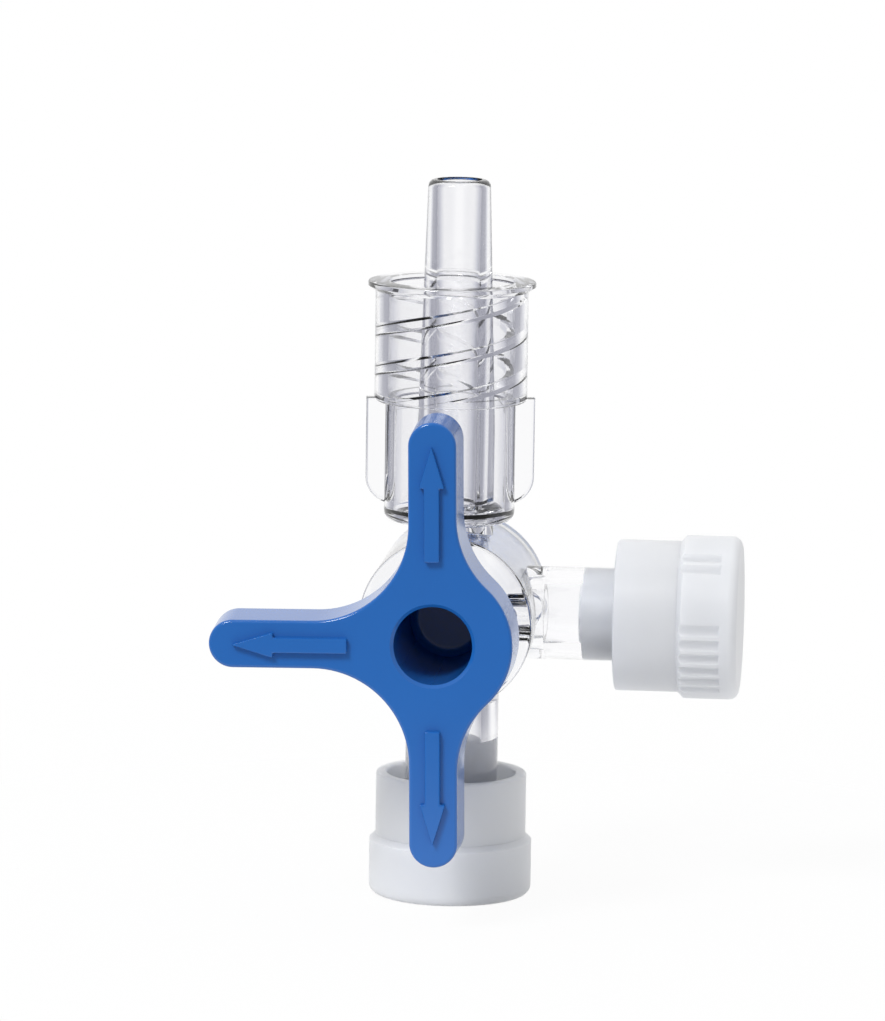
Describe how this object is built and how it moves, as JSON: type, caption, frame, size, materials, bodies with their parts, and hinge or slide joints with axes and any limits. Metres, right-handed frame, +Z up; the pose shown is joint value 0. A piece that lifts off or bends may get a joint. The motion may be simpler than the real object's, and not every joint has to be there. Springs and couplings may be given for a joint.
{
  "type": "three way stopcock",
  "caption": "Disposable three way stopcock: clear housing, turning three arm tap, male luer with loose lock collar, and two capped female luer ports.",
  "frame": {"origin": "middle of the flat closed end of the bottom port cap, on the main line through the male luer and the bottom port", "axes": "+Z up the main line to the male luer, +X along the side port, -Y towards the handle's face"},
  "size_m": [0.0323, 0.0205, 0.0459],
  "materials": {
    "clear_polycarbonate": "clear moulded gloss",
    "clear_collar": "clear moulded gloss",
    "blue_polyethylene": "moulded gloss",
    "white_polyethylene": "moulded satin"
  },
  "bodies": {
    "housing": {"housing": "clear_polycarbonate"},
    "collar": {"lock_collar": "clear_collar"},
    "tap": {"tap": "blue_polyethylene"},
    "side_cap": {"side_port_cap": "white_polyethylene"},
    "bottom_cap": {"bottom_port_cap": "white_polyethylene"}
  },
  "joints": [
    {"name": "tap_turn", "type": "hinge", "parent": "housing", "child": "tap", "pos_m": [0, 0, 0.0183], "axis": [0, 1, 0], "continuous": true},
    {"name": "collar_turn", "type": "hinge", "parent": "housing", "child": "collar", "pos_m": [-0.00038, 0, 0.0183], "axis": [0, 0, 1], "continuous": true},
    {"name": "side_cap_pull", "type": "slide", "parent": "housing", "child": "side_cap", "axis": [1, 0, 0], "range_m": [0, 0.009]},
    {"name": "bottom_cap_pull", "type": "slide", "parent": "housing", "child": "bottom_cap", "axis": [0, 0, -1], "range_m": [0, 0.009]}
  ]
}
